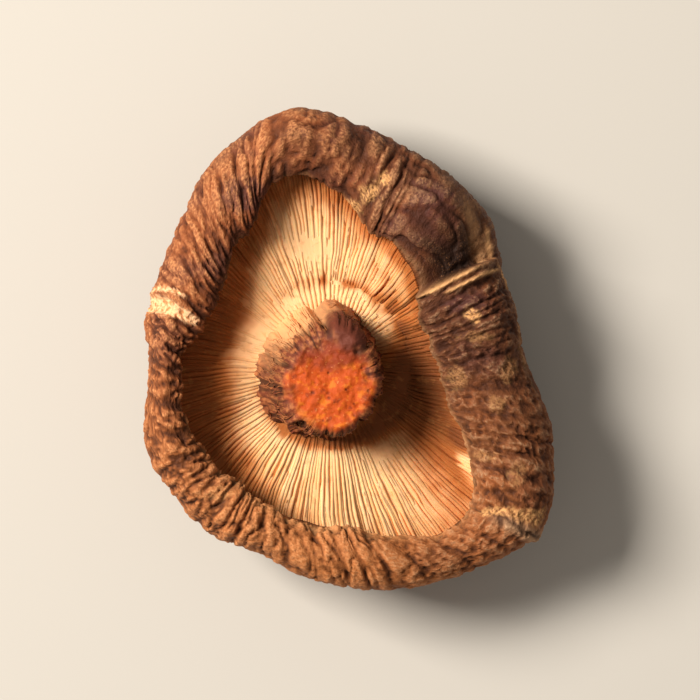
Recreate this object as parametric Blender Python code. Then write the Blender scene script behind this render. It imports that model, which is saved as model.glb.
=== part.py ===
"""A dried shiitake mushroom lying on its cap, with the gills and the cut stem facing up.

It grew as one body, so it is one solid: the domed cap, whose margin rolled in as it dried, the
gills on the cap's underside and the short, cut stem. The origin is on the resting surface, under
the middle of the cap, which lies on a small flat spot. +Z is up and the cap is longest along Y.
Run it in Blender 4.5 with: blender --background --python part.py
"""

import math

import bmesh
import bpy
from mathutils import Vector, noise

MM = 0.001
SHARP_EDGE_ANGLE = 60.0

# Sizes are in millimetres and directions in degrees, turning from +X towards +Y. Waves round the
# mushroom are given as (size, number of waves, direction of a crest).

# The cap's edge, seen from above, as (direction, radius) from the middle of the cap.
CAP_CENTRE = Vector((-0.15, 0.27))
CAP_EDGE = (
    (0, 18.6), (25, 18.4), (50, 20.4), (72, 21.4), (88, 23.6), (104, 25.6),
    (118, 24.4), (138, 21.9), (160, 20.8), (185, 21.0), (208, 22.9), (230, 24.2),
    (250, 23.6), (275, 24.8), (300, 26.4), (318, 27.2), (334, 23.2), (348, 20.2),
)

# The lip where the rolled margin ends over the gills, from the middle of the gills.
GILL_CENTRE = Vector((-2.15, -1.73))
LIP = (
    (0, 11.2), (20, 10.8), (40, 11.8), (58, 13.4), (76, 15.4), (92, 18.6),
    (105, 20.0), (120, 17.0), (140, 14.2), (162, 13.8), (182, 15.2), (202, 15.6),
    (224, 15.6), (242, 15.3), (260, 15.7), (274, 16.4), (290, 18.4), (306, 20.6),
    (319, 19.6), (332, 15.2), (346, 12.3),
)

# The flat spot that the cap lies on, and heights above the surface.
FLAT_SPOT_RADIUS = 6.0
WIDEST_HEIGHT = 10.4
WIDEST_WAVES = ((0.7, 2, 100), (0.4, 3, 20))
CREST_HEIGHT = 16.0
CREST_WAVES = ((0.7, 1, 150), (0.5, 2, 40), (0.45, 5, 118), (0.3, 8, 10))
LIP_BELOW_CREST = 1.5
CAVITY_FLOOR_HEIGHT = 7.2

# The margin's lip steps back over the gills.
LIP_UNDERCUT = 0.9
LIP_THICKNESS = 1.0

# Narrow grooves run across the margin between broad, unequal pleats. Their depth varies.
PLEATS = 52
GROOVE_HALF_WIDTH = 0.24
GROOVE_DEPTH = 0.7
GROOVE_DEPTH_WAVES = ((0.35, 1, 195), (0.25, 7, 80), (0.25, 11, 200))
PLEAT_SPREAD_WAVES = ((0.45, 4, 33), (0.3, 7, 160), (0.2, 11, 70))
LIP_WAVES = ((0.16, 9, 12), (0.14, 16, 40), (0.12, 23, 3))

# The skin of the dome dried into bumps between furrows, and the whole cap is a little uneven.
BUMP_SIZE = 5.6
BUMP_WARP = 0.22
FURROW_DEPTH = 1.0
FURROW_SHARE = 0.42
LUMP_SIZE = 8.0
LUMP_HEIGHT = 0.9

# A fold, a tear and a raised crease run across the margin, from its outer edge towards the lip.
FOLD_AT_EDGE, FOLD_AT_LIP, FOLD_WALL, FOLD_LENGTH, FOLD_DEPTH = 31.0, 42.0, 3.0, 26.0, 2.4
TEAR_AT_EDGE, TEAR_AT_LIP, TEAR_HALF_WIDTH, TEAR_DEPTH = 168.0, 160.0, 5.0, 0.8
CREASE_AT, CREASE_HALF_WIDTH, CREASE_HEIGHT = 315.0, 4.5, 0.6

# Directions round the cap's section between which each kind of relief comes in or fades out: -90
# is under the cap, 0 at its widest, 90 on top and 180 at the lip.
LUMPS_COME_IN = (-86.0, -62.0)
FURROWS_FADE = (-40.0, 25.0)
DENTS_COME_IN = (-55.0, 0.0)
GROOVES_COME_IN = (-10.0, 60.0)
FOLD_COMES_IN = (10.0, 50.0)
CREASE_FADES = (80.0, 130.0)
LIP_FADE, LIP_FADE_SHARE = (140.0, 180.0), 0.7

# Gills, every second one short. Their free edges fall from the lip to the stem, more on the left
# than on the right, where they also dip once, beside the stem.
GILLS = 84
GILL_INNER_RADIUS = 4.6
GILL_TUCK = 1.4
GILL_EDGE_AT_STEM = 9.8
GILL_EDGE_BELOW_LIP = 1.7
GILL_EDGE_CURVE = 1.5
GILLS_HIGHER_AT, GILLS_HIGHER_BY = 25.0, 0.9
GILLS_LOWER_AT, GILLS_LOWER_BY = 180.0, 2.3
DIP_AT, DIP_RADIUS, DIP_WIDTH, DIP_DEPTH = 42.0, 8.8, 0.8, 0.6
COLLAR_RADIUS, COLLAR_HEIGHT = 6.9, 0.5
GILL_DEPTH = 2.3
GILL_DEPTH_AT_ENDS, GILL_DEPTH_CURVE = 0.12, 0.7
GILL_ROOT_HEIGHT = 6.4
GILL_HEIGHT_WAVES = ((0.18, 17, 9), (0.14, 26, 50), (0.12, 41, 5))
GILL_SPREAD_WAVES = ((0.8, 7, 66), (0.6, 12, 5), (0.5, 19, 120))
GILL_SWIRL, GILL_SWIRLS = 2.5, 3
SHORT_GILLS_START = (0.32, 0.54)
GILL_ROWS = (0.0, 0.14, 0.28, 0.42, 0.56, 0.72, 0.86, 1.0)

# The stem leans and narrows to its oblique cut, which stands above the margin.
STEM_OUTLINE = (
    (0, 6.2), (28, 6.1), (55, 6.8), (78, 7.3), (98, 6.7), (120, 6.2), (150, 5.9),
    (175, 6.1), (200, 6.3), (225, 6.5), (250, 6.3), (275, 6.6), (305, 6.4), (335, 6.0),
)
STEM_FOOT = Vector((-1.3, -0.3))
STEM_LEAN = Vector((1.1, -0.9))
STEM_ROOT_HEIGHT = 5.6
STEM_TOP_HEIGHT = 19.6
STEM_CUT_SLOPE = Vector((0.07, -0.05))
STEM_STRANDS = 13
STEM_GROOVE_DEPTH = 0.55
STEM_GROOVE_WAVES = ((0.3, 2, 70), (0.3, 5, 20))
STEM_GROOVES_FADE, STEM_GROOVE_FADE_SHARE = (0.88, 1.0), 0.75
STEM_SPREAD_WAVES = ((0.35, 3, 100), (0.2, 5, 10))
# Each ring of the stem as (share of its height from the root to the cut, share of its outline).
STEM_RINGS = (
    (0.0, 1.12), (0.26, 1.15), (0.36, 1.03), (0.48, 0.97), (0.62, 0.94),
    (0.76, 0.92), (0.86, 0.90), (0.93, 0.86), (0.975, 0.79), (1.0, 0.70),
)

GILL_COLUMNS = 2 * GILLS
# Rows of the cap's points, by their direction round its section. Near the flat spot only every
# fourth column is needed, and then every second one.
DOME_ROWS = 16
DOME_ROW_CURVE = 0.85
FOURTH_COLUMNS_BELOW, SECOND_COLUMNS_BELOW = -76.0, -42.0
ROLL_SECTION = (0, 12, 28, 46, 65, 85, 106, 128, 152, 180)


def ease(value, low, high):
    """0 below low, 1 above high and a smooth step between them."""
    share = min(1.0, max(0.0, (value - low) / (high - low)))
    return share * share * (3.0 - 2.0 * share)


def grooved_columns(ridges):
    """Places of the points round a grooved body, counted in ridges: in and beside each groove."""
    sides = (0.0, GROOVE_HALF_WIDTH, 1.0 - GROOVE_HALF_WIDTH)
    return [ridge + side for ridge in range(ridges) for side in sides]


def groove_share(place):
    """1 in a groove and 0 on the ridges, at a place counted in ridges."""
    return 1.0 - ease(abs(place - round(place)), 0.0, GROOVE_HALF_WIDTH)


def waves_at(waves, direction):
    """The sum of waves round the mushroom in one direction."""
    return sum(
        size * math.cos(number * math.radians(direction - crest)) for size, number, crest in waves
    )


def radius_at(points, direction):
    """Radius in one direction of a smooth closed curve through (direction, radius) points."""
    turn = direction % 360.0
    count = len(points)
    before = max(i for i in range(count) if points[i][0] <= turn)

    def point(index):
        degrees, radius = points[index % count]
        return degrees + 360.0 * (index // count), radius

    def slope(index):
        (d0, r0), (d1, r1) = point(index - 1), point(index + 1)
        return (r1 - r0) / (d1 - d0)

    (d0, r0), (d1, r1) = point(before), point(before + 1)
    span = d1 - d0
    t = (turn - d0) / span
    return (
        r0 * (2 * t**3 - 3 * t**2 + 1)
        + slope(before) * span * (t**3 - 2 * t**2 + t)
        + r1 * (3 * t**2 - 2 * t**3)
        + slope(before + 1) * span * (t**3 - t**2)
    )


def ray(direction):
    """The level unit vector in a direction."""
    return Vector((math.cos(math.radians(direction)), math.sin(math.radians(direction))))


def widest_height(direction):
    return WIDEST_HEIGHT + waves_at(WIDEST_WAVES, direction)


def crest_height(direction):
    return CREST_HEIGHT + waves_at(CREST_WAVES, direction)


def lip_height(direction):
    return crest_height(direction) - LIP_BELOW_CREST


def lip_radius(direction):
    return radius_at(LIP, direction) + waves_at(LIP_WAVES, direction)


def furrow_depth(point):
    """Depth of the furrows between the bumps of the dried skin."""
    place = point / BUMP_SIZE
    warp = Vector((noise.noise(place), noise.noise(place.yzx), noise.noise(place.zxy)))
    distances = noise.voronoi(place + warp * BUMP_WARP)[0]
    return FURROW_DEPTH * (1.0 - ease(distances[1] - distances[0], 0.0, FURROW_SHARE))


def spread_direction(place, ridges, spread_waves):
    """Direction of a place counted in ridges, which are not all equally wide."""
    direction = 360.0 / ridges * place
    return direction + 360.0 / ridges * waves_at(spread_waves, direction)


def facing(direction, towards, sharpness):
    """1 towards one direction, falling to 0 opposite to it."""
    return (0.5 + 0.5 * math.cos(math.radians(direction - towards))) ** sharpness


def margin_dent(direction, section):
    """Depth of the fold, which starts sharply and fades out, and of the tear, less the crease."""
    over_margin = max(0.0, section) / 180.0
    fold_at = FOLD_AT_EDGE + (FOLD_AT_LIP - FOLD_AT_EDGE) * over_margin
    fold = ease(section, *FOLD_COMES_IN) * ease(direction, fold_at - FOLD_WALL, fold_at)
    fold *= 1.0 - ease(direction, fold_at, fold_at + FOLD_LENGTH)
    tear_at = TEAR_AT_EDGE + (TEAR_AT_LIP - TEAR_AT_EDGE) * over_margin
    tear = 1.0 - ease(abs(direction - tear_at), 0.0, TEAR_HALF_WIDTH)
    crease = 1.0 - ease(abs(direction - CREASE_AT), 0.0, CREASE_HALF_WIDTH)
    crease *= 1.0 - ease(section, *CREASE_FADES)
    return FOLD_DEPTH * fold + TEAR_DEPTH * tear - CREASE_HEIGHT * crease


def smooth_cap_point(direction, section):
    """A point of the cap before it wrinkled, at a direction round the cap's section."""
    turn = math.radians(section)
    edge_radius = radius_at(CAP_EDGE, direction)
    if section <= 0:
        radius = FLAT_SPOT_RADIUS + (edge_radius - FLAT_SPOT_RADIUS) * math.cos(turn)
        level = CAP_CENTRE + ray(direction) * radius
        return Vector((*level, widest_height(direction) * (1.0 + math.sin(turn))))
    edge = CAP_CENTRE + ray(direction) * edge_radius
    lip = GILL_CENTRE + ray(direction) * lip_radius(direction)
    level = edge.lerp(lip, (1.0 - math.cos(turn)) / 2.0)
    foot = widest_height(direction) if section <= 90 else lip_height(direction)
    return Vector((*level, foot + (crest_height(direction) - foot) * math.sin(turn)))


def cap_point(place, section):
    """A point of the wrinkled cap, at a place counted in pleats."""
    direction = spread_direction(place, PLEATS, PLEAT_SPREAD_WAVES)
    point = smooth_cap_point(direction, section)
    off_flat_spot = ease(section, *LUMPS_COME_IN)
    on_dome = off_flat_spot * (1.0 - ease(section, *FURROWS_FADE))
    before_lip = 1.0 - LIP_FADE_SHARE * ease(section, *LIP_FADE)
    groove = GROOVE_DEPTH * (1.0 + waves_at(GROOVE_DEPTH_WAVES, direction)) * groove_share(place)
    rise = LUMP_HEIGHT * noise.noise(point / LUMP_SIZE) * off_flat_spot
    rise -= groove * ease(section, *GROOVES_COME_IN) * before_lip
    rise -= margin_dent(direction, section) * ease(section, *DENTS_COME_IN) * before_lip
    rise -= furrow_depth(point) * on_dome
    turn = math.radians(section)
    outward = ray(direction) * math.cos(turn)
    return point + Vector((*outward, math.sin(turn))) * rise


def cap_rings():
    """Rings of the cap from the flat spot, over the dome, the crest and the lip, to the cavity."""
    columns = grooved_columns(PLEATS)
    rings = []
    for row in range(DOME_ROWS):
        section = -90.0 * (1.0 - row / DOME_ROWS) ** DOME_ROW_CURVE
        step = 4 if section < FOURTH_COLUMNS_BELOW else 2 if section < SECOND_COLUMNS_BELOW else 1
        rings.append([cap_point(place, section) for place in columns[::step]])
    rings += [[cap_point(place, section) for place in columns] for section in ROLL_SECTION]
    for below_lip in (True, False):
        ring = []
        for place in columns:
            direction = spread_direction(place, PLEATS, PLEAT_SPREAD_WAVES)
            level = GILL_CENTRE + ray(direction) * (lip_radius(direction) + LIP_UNDERCUT)
            under_lip = lip_height(direction) - LIP_THICKNESS
            ring.append(Vector((*level, under_lip if below_lip else CAVITY_FLOOR_HEIGHT)))
        rings.append(ring)
    return rings


def gill_direction(column, along):
    """Direction of a column of the gills. They stand unevenly and bend a little on their way out."""
    direction = 360.0 * column / GILL_COLUMNS
    direction += 360.0 / GILL_COLUMNS * waves_at(GILL_SPREAD_WAVES, direction)
    swirl = GILL_SWIRL * math.sin(math.radians(direction * GILL_SWIRLS))
    return direction + swirl * math.sin(math.pi * along)


def gill_edge(direction, radius, along):
    """Height of the gills' free edges. Along is 0 in the stem and 1 in the margin."""
    at_lip = lip_height(direction) - GILL_EDGE_BELOW_LIP
    at_lip += GILLS_HIGHER_BY * facing(direction, GILLS_HIGHER_AT, 2)
    at_lip -= GILLS_LOWER_BY * facing(direction, GILLS_LOWER_AT, 2)
    edge = GILL_EDGE_AT_STEM + (at_lip - GILL_EDGE_AT_STEM) * along**GILL_EDGE_CURVE
    edge += waves_at(GILL_HEIGHT_WAVES, direction) * math.sin(math.pi * along)
    dip = DIP_DEPTH * math.exp(-(((radius - DIP_RADIUS) / DIP_WIDTH) ** 2))
    collar = COLLAR_HEIGHT * math.exp(-(((radius - COLLAR_RADIUS) / DIP_WIDTH) ** 2))
    return edge + (collar - dip) * facing(direction, DIP_AT, 3)


def gill_point(column, along):
    """A point on the gills. Columns are gill and gap in turn; along is 0 in the stem, 1 in the margin."""
    direction = gill_direction(column, along)
    outer_radius = lip_radius(direction) + GILL_TUCK
    radius = GILL_INNER_RADIUS + (outer_radius - GILL_INNER_RADIUS) * along
    inner_share = GILL_DEPTH_AT_ENDS + (1.0 - 2.0 * GILL_DEPTH_AT_ENDS) * along
    depth = GILL_DEPTH * math.sin(math.pi * inner_share) ** GILL_DEPTH_CURVE
    if column % 2 == 0:
        is_short = column % 4 == 2
        depth *= 1.0 - ease(along, *SHORT_GILLS_START) if is_short else 0.0
    level = GILL_CENTRE + ray(direction) * radius
    return Vector((*level, gill_edge(direction, radius, along) - depth))


def gill_rings():
    """Rings of the gills from the stem out to the margin, and back under the cavity's floor."""
    columns = range(GILL_COLUMNS)
    rings = [[gill_point(column, along) for column in columns] for along in GILL_ROWS]
    for along in (1.0, 0.0):
        ring = []
        for column in columns:
            root = gill_point(column, along)
            root.z = GILL_ROOT_HEIGHT
            ring.append(root)
        rings.append(ring)
    return rings


def stem_rings():
    """Rings of the grooved, leaning stem from its root in the cap to the cut."""
    rings = []
    for height_share, outline_share in STEM_RINGS:
        centre = GILL_CENTRE + STEM_FOOT + STEM_LEAN * height_share
        before_cut = 1.0 - STEM_GROOVE_FADE_SHARE * ease(height_share, *STEM_GROOVES_FADE)
        ring = []
        for place in grooved_columns(STEM_STRANDS):
            direction = spread_direction(place, STEM_STRANDS, STEM_SPREAD_WAVES)
            groove = STEM_GROOVE_DEPTH * (1.0 + waves_at(STEM_GROOVE_WAVES, direction))
            radius = radius_at(STEM_OUTLINE, direction) * outline_share
            level = ray(direction) * (radius - groove * groove_share(place) * before_cut)
            top = STEM_TOP_HEIGHT + level.dot(STEM_CUT_SLOPE)
            height = STEM_ROOT_HEIGHT + (top - STEM_ROOT_HEIGHT) * height_share
            ring.append(Vector((*(centre + level), height)))
        rings.append(ring)
    return rings


def material(name, colour, roughness):
    """A plain surface of one colour, given in linear red, green and blue."""
    made = bpy.data.materials.new(name)
    made.use_nodes = True
    surface = made.node_tree.nodes["Principled BSDF"]
    surface.inputs["Base Color"].default_value = (*colour, 1.0)
    surface.inputs["Roughness"].default_value = roughness
    surface.inputs["Metallic"].default_value = 0.0
    return made


def loft(name, rings, collection, surface, closes_on_itself=False):
    """A closed skin over rings of points in millimetres, with its two ends filled or joined.

    A ring has as many points as the one before it, or twice as many.
    """
    bm = bmesh.new()
    loops = [[bm.verts.new(point * MM) for point in ring] for ring in rings]
    pairs = list(zip(loops, loops[1:]))
    if closes_on_itself:
        pairs.append((loops[-1], loops[0]))
    else:
        bm.faces.new(loops[0])
        bm.faces.new(loops[-1])
    for one, other in pairs:
        for i in range(len(one)):
            j = (i + 1) % len(one)
            if len(other) == len(one):
                bm.faces.new((one[i], one[j], other[j], other[i]))
            else:
                middle, end = other[2 * i + 1], other[2 * j]
                bm.faces.new((one[i], middle, other[2 * i]))
                bm.faces.new((one[i], one[j], middle))
                bm.faces.new((one[j], end, middle))
    bmesh.ops.recalc_face_normals(bm, faces=bm.faces)
    mesh = bpy.data.meshes.new(name)
    bm.to_mesh(mesh)
    bm.free()
    mesh.materials.append(surface)
    obj = bpy.data.objects.new(name, mesh)
    collection.objects.link(obj)
    return obj


def joined_with(body, others):
    """The body grown together with every object of a collection, which is then removed."""
    union = body.modifiers.new("grown together", "BOOLEAN")
    union.operation = "UNION"
    union.solver = "MANIFOLD"
    union.operand_type = "COLLECTION"
    union.collection = others
    bpy.context.view_layer.update()
    evaluated = body.evaluated_get(bpy.context.evaluated_depsgraph_get())
    mesh = bpy.data.meshes.new_from_object(evaluated)
    body.modifiers.clear()
    body.data = mesh
    mesh.name = body.name
    for obj in list(others.objects):
        bpy.data.objects.remove(obj)
    bpy.data.collections.remove(others)
    return body


def build():
    for obj in list(bpy.data.objects):
        bpy.data.objects.remove(obj)
    mushroom_collection = bpy.data.collections.new("Dried shiitake mushroom")
    growth_collection = bpy.data.collections.new("Gills and stem")
    for collection in (mushroom_collection, growth_collection):
        bpy.context.scene.collection.children.link(collection)

    skin = material("dried brown cap skin", (0.155, 0.066, 0.030), 0.75)
    gill_flesh = material("dried cream gills", (0.760, 0.440, 0.180), 0.70)
    stem_flesh = material("dried tan stem", (0.420, 0.170, 0.065), 0.80)

    mushroom = loft("dried_shiitake", cap_rings(), mushroom_collection, skin)
    loft("gills", gill_rings(), growth_collection, gill_flesh, closes_on_itself=True)
    loft("stem", stem_rings(), growth_collection, stem_flesh)
    joined_with(mushroom, growth_collection)
    mushroom.data.shade_smooth()
    mushroom.data.set_sharp_from_angle(angle=math.radians(SHARP_EDGE_ANGLE))


build()
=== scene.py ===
"""A dried shiitake mushroom lying on its cap, gill side up, seen from straight above.

Its skin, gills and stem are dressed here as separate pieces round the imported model.
"""

import math

import bpy
import numpy as np
from mathutils import Matrix, Vector, noise


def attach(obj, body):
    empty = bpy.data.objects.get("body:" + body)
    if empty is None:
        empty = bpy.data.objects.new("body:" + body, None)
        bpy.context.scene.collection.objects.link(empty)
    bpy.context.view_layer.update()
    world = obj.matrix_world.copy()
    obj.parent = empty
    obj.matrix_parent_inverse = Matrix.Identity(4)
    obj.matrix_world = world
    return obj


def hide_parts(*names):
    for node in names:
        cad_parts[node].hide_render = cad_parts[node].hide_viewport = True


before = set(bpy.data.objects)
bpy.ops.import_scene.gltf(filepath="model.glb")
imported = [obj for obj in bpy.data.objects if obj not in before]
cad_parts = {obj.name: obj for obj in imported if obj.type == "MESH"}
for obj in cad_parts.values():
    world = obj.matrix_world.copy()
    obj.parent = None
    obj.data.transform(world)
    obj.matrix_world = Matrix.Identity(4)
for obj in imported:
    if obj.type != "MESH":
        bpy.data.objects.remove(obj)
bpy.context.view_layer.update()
MM = 0.001

# The cap. A shiitake's cap is a thin leathery skin over pale flesh. As it dried, the skin sank into
# furrows on the dome, and the margin rolled in over the gills and pleated. A chip is torn out of it
# on the left, and a fold runs across it on the right.

# Sizes are in millimetres and directions in degrees, turning from +X towards +Y. Outlines are
# (direction, radius) pairs, waves round the mushroom (size, number, direction of a crest), and
# unevenness (size across, height).
CAP_CENTRE = Vector((-0.15, 0.27))
CAP_EDGE = (
    (0, 18.6), (25, 18.4), (50, 20.4), (72, 21.4), (88, 23.6), (104, 25.6),
    (118, 24.4), (138, 21.9), (160, 20.8), (185, 21.0), (208, 22.9), (230, 24.2),
    (250, 23.6), (275, 24.8), (300, 26.4), (318, 27.2), (334, 23.2), (348, 20.2),
)
GILL_CENTRE = Vector((-2.15, -1.73))
LIP = (
    (0, 11.2), (20, 10.8), (40, 11.8), (58, 13.4), (76, 15.4), (92, 18.6),
    (105, 20.0), (120, 17.0), (140, 14.2), (162, 13.8), (182, 15.2), (202, 15.6),
    (224, 15.6), (242, 15.3), (260, 15.7), (274, 16.4), (290, 18.4), (306, 20.6),
    (319, 19.6), (332, 15.2), (346, 12.3),
)
LIP_WAVES = ((0.16, 9, 12), (0.14, 16, 40), (0.12, 23, 3))
FLAT_SPOT_RADIUS = 6.0
WIDEST_HEIGHT = 10.4
WIDEST_WAVES = ((0.7, 2, 100), (0.4, 3, 20))
CREST_HEIGHT = 16.0
CREST_WAVES = ((0.7, 1, 150), (0.5, 2, 40), (0.45, 5, 118), (0.3, 8, 10))
LIP_BELOW_CREST = 1.5
LIP_UNDERCUT = 0.9
LIP_THICKNESS = 1.0
LIP_ROUNDED_HEIGHT, LIP_ROUNDED_DEPTH = 0.35, 0.25
CAVITY_FLOOR_HEIGHT = 7.2

# Broad pleats with grooves between them, bumps between furrows on the dome, a fold, a tear and a
# raised crease. A direction round the cap's section is -90 below, 0 at its widest, 90 on top and
# 180 at the lip, and pairs of them say where a relief comes in or fades out.
PLEATS = 52
GROOVE_HALF_WIDTH = 0.24
GROOVE_DEPTH = 0.7
GROOVE_DEPTH_WAVES = ((0.35, 1, 195), (0.25, 7, 80), (0.25, 11, 200))
PLEAT_SPREAD_WAVES = ((0.45, 4, 33), (0.3, 7, 160), (0.2, 11, 70))
BUMP_SIZE, BUMP_WARP = 5.6, 0.22
FURROW_DEPTH, FURROW_SHARE = 1.0, 0.42
LUMPS = (8.0, 0.9)
FOLD_AT_EDGE, FOLD_AT_LIP, FOLD_WALL, FOLD_LENGTH, FOLD_DEPTH = 31.0, 42.0, 2.0, 26.0, 2.4
TEAR_AT_EDGE, TEAR_AT_LIP, TEAR_HALF_WIDTH, TEAR_DEPTH = 168.0, 160.0, 3.4, 0.4
CREASE_AT, CREASE_HALF_WIDTH, CREASE_HEIGHT = 315.0, 3.0, 0.6
LEFT_AT, LOW_AT, BROAD_AT, BROAD_FROM, SCALY_AT = 180.0, 262.0, -22.0, (0.62, 0.9), 195.0
LUMPS_COME_IN, FURROWS_FADE = (-86.0, -62.0), (-40.0, 25.0)
MARGIN_COMES_IN, DENTS_COME_IN, GROOVES_COME_IN = (-70.0, 20.0), (-55.0, 0.0), (-10.0, 60.0)
FOLD_COMES_IN, CREASE_FADES = (10.0, 50.0), (80.0, 130.0)
LIP_SMOOTHS, LIP_SMOOTHED_BY = (140.0, 180.0), 0.7
FURROWS_ON_FLAT_SPOT = 0.35
GROOVE_SHARE, GROOVES_LESS_ON_LEFT, GROOVES_LESS_BEYOND_FOLD = 0.5, 0.2, 0.6

# The fold's wall carries two thin ridges, painted pale as highlights. In the fold lies painted shade,
# darkest in a corner near the wall, and a paler strip near the edge, and the skin beyond the wall is smooth
# but for wrinkles along the lip.
FOLD_RIDGE_HEIGHT = 0.5
RIDGE_HALF_WIDTH, RIDGE_WIDENS, RIDGE_RISES = 0.6, 0.5, (50.0, 90.0)
SECOND_RIDGE_BEFORE, SECOND_RIDGE_HALF_WIDTH, SECOND_RIDGE_FADES = 3.2, 0.8, (105.0, 125.0)
CORNER_NEAR, CORNER_FAR, CORNER_RAGGED = 6.0, 19.0, (2.1, 8.0)
CORNER_COMES_IN, CORNER_FADES = (38.0, 72.0), (125.0, 160.0)
STRIP_SECTION, STRIP_HALF_WIDTH, STRIP_ENDS = 36.0, 14.0, (46.0, 56.0)
BEYOND_FOLD_FROM, BEYOND_FOLD_UNTIL, BEYOND_FOLD_COMES_IN = (36.0, 44.0), (64.0, 78.0), (0.0, 40.0)

# What shows closer up: fine pleats, wrinkles along the lip beyond the fold, a net that is raised
# where the margin is broad and sunk between scales on the left, cracks and grain.
RIDGE_SLOPE, RIDGE_MEAN = 0.36, 0.7
FINE_PLEAT_PITCH, FINE_PLEAT_STEP, FINE_PLEAT_HEIGHT = 1.1, 80.0, 0.40
FINER_TIMES, FINER_SHARE = 2.1, 0.45
SWAY_SIZE, SWAY_SHARE = 2.6, 0.5
PLEATS_LESS_ON_BROAD, PLEATS_LESS_BEYOND_FOLD, SCALE_EDGES_SUNK = 0.3, 0.8, 0.8
WRINKLE_LENGTH, WRINKLE_STEP, WRINKLE_HEIGHT = 7.0, 26.0, 0.4
NET_SIZE, NET_WARP, NET_SHARE, NET_MEAN, NET_HEIGHT = 1.25, 0.8, 0.42, 0.4, 0.22
CRACK_SIZE, CRACK_WARP, CRACK_SHARE, CRACK_DEPTH = 1.9, 0.5, 0.36, 0.25
GRAIN = (0.5, 0.04)
PLEATS_COME_IN, NET_COMES_IN, SCALES_COME_IN = (-25.0, 45.0), (-10.0, 25.0), (-40.0, 20.0)
MARGIN_RADIUS = 22.0

# The chip torn out of the skin narrows towards the lip and has a prong beside it.
TORN_HALF_WIDTH, TORN_NARROWS, TORN_EDGE_WIDTH = 3.1, 1.8, 0.8
TORN_FROM, TORN_UNTIL = (-16.0, -8.0), (140.0, 150.0)
PRONG_GAP, PRONG_GAP_WIDENS, PRONG_HALF_WIDTHS = 3.6, 4.9, (0.5, 0.9)
PRONG_FROM, PRONG_UNTIL = (0.0, 8.0), (92.0, 100.0)
TORN_RAGGED_ALONG, TORN_DEPTH, TORN_CURL = 12.0, 0.2, 0.7

# Stains on the margin, as (x, y, half width, half height). The faint ones are weaker.
PALE_SPOTS = (
    (0.2, 14.9, 1.3, 0.9), (1.8, 16.2, 1.2, 0.9), (3.2, 17.7, 1.0, 0.8),
    (12.4, 3.6, 1.1, 0.8), (15.5, -16.5, 2.4, 0.6), (18.4, -17.0, 1.9, 1.1),
)
FAINT_SPOTS = (
    (10.8, -2.8, 1.1, 1.5), (16.2, -2.1, 1.0, 1.3), (14.9, -5.5, 1.2, 1.2), (13.6, -10.8, 1.7, 0.7),
    (12.8, 1.4, 2.0, 0.6), (17.0, -12.5, 1.1, 1.4), (-16.0, -6.0, 1.2, 2.0), (-13.5, -14.5, 1.8, 1.0),
)
PURPLE_SPOTS = (
    (11.9, 4.9, 2.7, 1.5), (-11.0, 16.0, 3.0, 2.0), (8.2, 15.6, 3.0, 2.2), (9.0, -21.5, 4.0, 2.0),
)
FAINT_SHARE = 0.35
SPOTS_RAGGED, SPOTS_FADE = ((1.1, 0.5), (0.5, 0.3)), (0.55, 1.1)
STAINS_COME_IN = (-10.0, 20.0)

# How much painted shade each hollow of the skin gets. The high crest at the upper left gets a painted
# highlight instead.
PAINTED_SHADE_STRENGTHS = {
    "groove": 0.35, "furrow": 0.7, "crack": 0.4, "fine pleat": 0.6, "finer pleat": 0.3, "net": 0.5,
    "scale edge": 0.5, "beyond fold": 0.15, "wrinkle": 0.6, "upper lip shade": 0.6, "upper crest highlight": -0.2,
}
UPPER_LIP_AT, UPPER_LIP_COMES_IN = 128.0, (115.0, 160.0)
UPPER_CREST_AT, UPPER_CREST_SECTION, UPPER_CREST_HALF_WIDTH = 135.0, 70.0, 30.0
# Painted shade in the fold's dip and in its corner.
FOLD_SHADE, CORNER_SHADE = 0.35, 0.65

# Pale lines, partly worn edges and partly painted highlight where the edges catch the lamp: one wanders
# along the outer edge of the margin, and two run along its lip.
OUTER_LINE_AT, OUTER_LINE_SECTION, OUTER_LINE_HALF_WIDTH = 26.0, 18.0, 5.0
OUTER_LINE_WANDERS, OUTER_LINE_SHARE, OUTER_LINE_BROKEN = (3.2, 14.0), 0.5, (2.3, 1.3)
LINE_SHARE, LINES_BROKEN = 0.75, (1.4, 0.6)
LIP_LINE_COMES_IN, LIP_LINE_ALL_ROUND, LIP_LINE_ON_RIGHT = (158.0, 174.0), 0.1, 0.15
LOW_LIP_LINE_COMES_IN, LOW_LIP_LINE = (128.0, 170.0), 0.4
STRIP_PALENESS = 0.45

# Fine threads run across the margin, drawn out over so many degrees of its section.
WEAVE_STEP, WEAVE_UNDER_LIP = 12.0, 15.5

COLUMNS_A_PLEAT = 12
DOME_ROWS, DOME_ROW_CURVE, ROLL_ROWS, FLAT_ROWS = 56, 0.85, 76, 12


def ease(value, low, high):
    """0 up to low and 1 from high on, with a smooth rise between them."""
    share = min(1.0, max(0.0, (value - low) / (high - low)))
    return share * share * (3.0 - 2.0 * share)


def fade(value, low, high):
    return 1.0 - ease(value, low, high)


def blend(start, end, share):
    return start + (end - start) * share


def waves_at(waves, direction):
    return sum(
        size * math.cos(number * math.radians(direction - crest)) for size, number, crest in waves
    )


def radius_at(points, direction):
    """Radius in one direction of a smooth closed curve through (direction, radius) points."""
    turn = direction % 360.0
    count = len(points)
    before = max(i for i in range(count) if points[i][0] <= turn)

    def point(index):
        degrees, radius = points[index % count]
        return degrees + 360.0 * (index // count), radius

    def slope(index):
        (d0, r0), (d1, r1) = point(index - 1), point(index + 1)
        return (r1 - r0) / (d1 - d0)

    (d0, r0), (d1, r1) = point(before), point(before + 1)
    span = d1 - d0
    t = (turn - d0) / span
    return (
        r0 * (2 * t**3 - 3 * t**2 + 1)
        + slope(before) * span * (t**3 - 2 * t**2 + t)
        + r1 * (3 * t**2 - 2 * t**3)
        + slope(before + 1) * span * (t**3 - t**2)
    )


def ray(direction):
    return Vector((math.cos(math.radians(direction)), math.sin(math.radians(direction))))


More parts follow.
